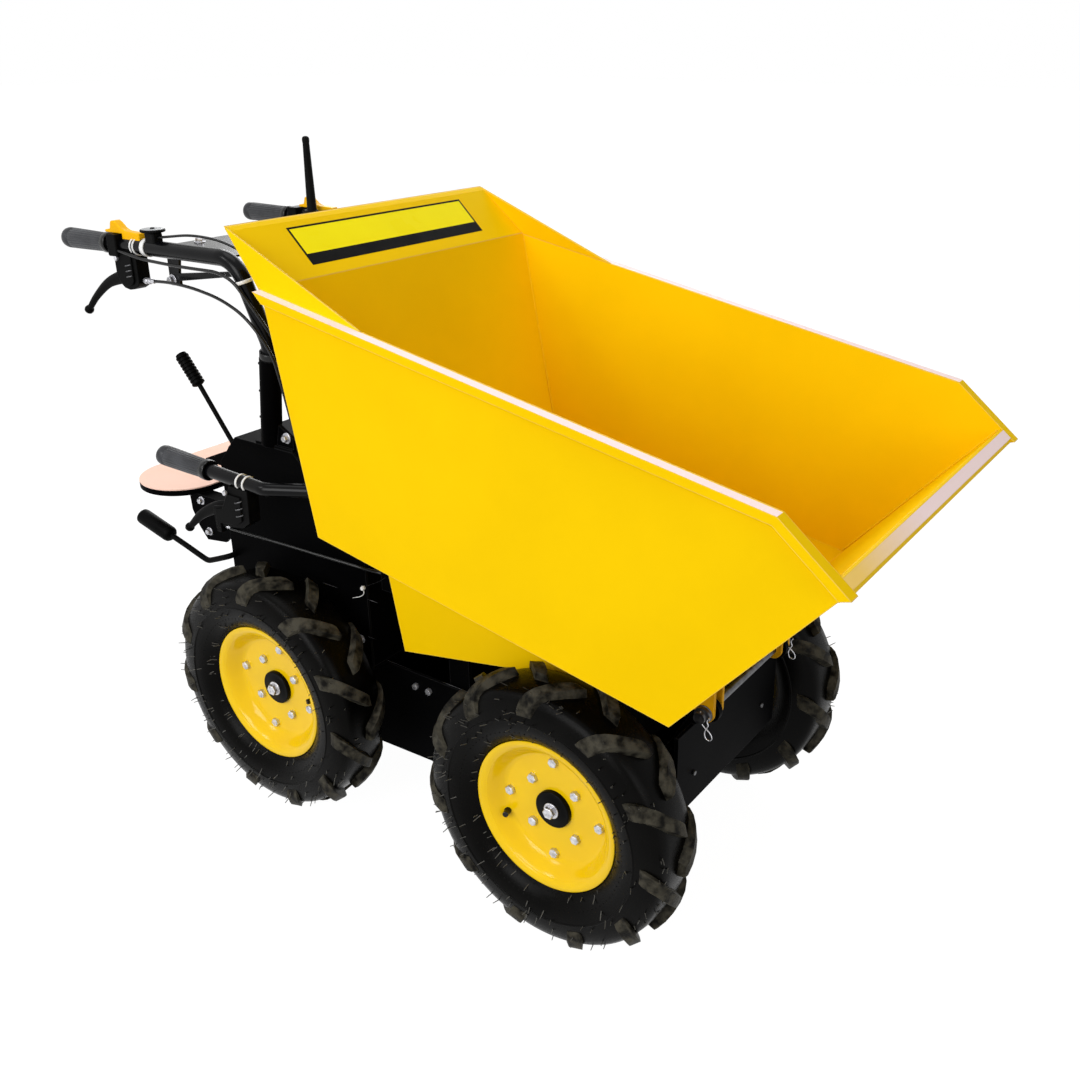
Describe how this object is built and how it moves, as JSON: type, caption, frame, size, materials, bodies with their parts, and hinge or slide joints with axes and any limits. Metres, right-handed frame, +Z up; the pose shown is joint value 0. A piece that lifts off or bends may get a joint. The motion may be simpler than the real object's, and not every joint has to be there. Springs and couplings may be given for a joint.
{
  "type": "walk-behind mini loader with tipping skip",
  "caption": "Walk-behind mini loader: a forward-tipping sheet steel skip on a powered chassis with lugged wheels, handlebars and hand controls.",
  "frame": {"origin": "on the ground at the middle of the machine's length and width", "axes": "+X forward over the skip's lip, +Y to the left of someone at the handlebar, +Z up"},
  "size_m": [1.4332, 0.596, 1.03],
  "materials": {
    "axle_black": "rough paint on castings",
    "bar_grey": "satin paint on tube",
    "cable_black": "sleeved cable",
    "control_black": "moulded",
    "engine_grey": "plain block",
    "frame_black": "satin paint",
    "grip_rubber": "moulded rubber",
    "hub_black": "satin paint",
    "latch_yellow": "moulded",
    "lever_black": "satin paint",
    "lever_steel": "satin paint with rubber sleeve",
    "rim_yellow": "gloss paint",
    "shelf_yellow": "gloss paint",
    "skip_yellow": "satin paint on pressed sheet",
    "tyre_rubber": "moulded rubber",
    "zinc": "zinc plated"
  },
  "bodies": {
    "chassis": {"bay_cover": "frame_black", "bay_deck": "frame_black", "bay_front_panel": "frame_black", "bay_left_panel": "frame_black", "bay_rear_panel": "frame_black", "bay_right_panel": "frame_black", "clutch_levers": "lever_black", "control_cables": "cable_black", "dash_panel": "bar_grey", "drive_lever": "control_black", "engine_block": "engine_grey", "frame_floor": "frame_black", "frame_left_rail": "frame_black", "frame_rear_plate": "frame_black", "frame_right_rail": "frame_black", "front_axle_housing": "axle_black", "gear_lever": "lever_steel", "guard_brackets": "frame_black", "guard_rim": "frame_black", "guard_shelf": "shelf_yellow", "hand_grip_left": "grip_rubber", "hand_grip_right": "grip_rubber", "handlebar_left_tube": "bar_grey", "handlebar_right_tube": "bar_grey", "handlebar_sockets": "bar_grey", "hinge_carrier": "frame_black", "hinge_pin": "zinc", "low_lever": "lever_steel", "rear_axle_housing": "axle_black", "skip_rest": "frame_black", "throttle_knob": "control_black", "thumb_latches": "latch_yellow"},
    "skip": {"catch_cable": "cable_black", "catch_lever": "lever_black", "skip_back_flare": "skip_yellow", "skip_back_panel": "skip_yellow", "skip_belly_floor": "skip_yellow", "skip_catch": "frame_black", "skip_front_panel": "skip_yellow", "skip_hinge_lugs": "skip_yellow", "skip_left_belly": "skip_yellow", "skip_left_gusset": "skip_yellow", "skip_left_side": "skip_yellow", "skip_right_belly": "skip_yellow", "skip_right_gusset": "skip_yellow", "skip_right_side": "skip_yellow", "tipping_grip": "grip_rubber", "tipping_handle": "bar_grey"},
    "wheel_front_left": {"hub_front_left": "hub_black", "rim_front_left": "rim_yellow", "tyre_front_left": "tyre_rubber"},
    "wheel_front_right": {"hub_front_right": "hub_black", "rim_front_right": "rim_yellow", "tyre_front_right": "tyre_rubber"},
    "wheel_rear_left": {"hub_rear_left": "hub_black", "rim_rear_left": "rim_yellow", "tyre_rear_left": "tyre_rubber"},
    "wheel_rear_right": {"hub_rear_right": "hub_black", "rim_rear_right": "rim_yellow", "tyre_rear_right": "tyre_rubber"}
  },
  "joints": [
    {"name": "skip_tip", "type": "hinge", "parent": "chassis", "child": "skip", "pos_m": [0.4655, 0, 0.356], "axis": [0, 1, 0], "range_deg": [0, 85]},
    {"name": "front_left_wheel_roll", "type": "hinge", "parent": "chassis", "child": "wheel_front_left", "pos_m": [0.3055, 0.235, 0.21], "axis": [0, 1, 0], "continuous": true},
    {"name": "front_right_wheel_roll", "type": "hinge", "parent": "chassis", "child": "wheel_front_right", "pos_m": [0.3055, -0.235, 0.21], "axis": [0, 1, 0], "continuous": true},
    {"name": "rear_left_wheel_roll", "type": "hinge", "parent": "chassis", "child": "wheel_rear_left", "pos_m": [-0.2505, 0.235, 0.21], "axis": [0, 1, 0], "continuous": true},
    {"name": "rear_right_wheel_roll", "type": "hinge", "parent": "chassis", "child": "wheel_rear_right", "pos_m": [-0.2505, -0.235, 0.21], "axis": [0, 1, 0], "continuous": true}
  ]
}
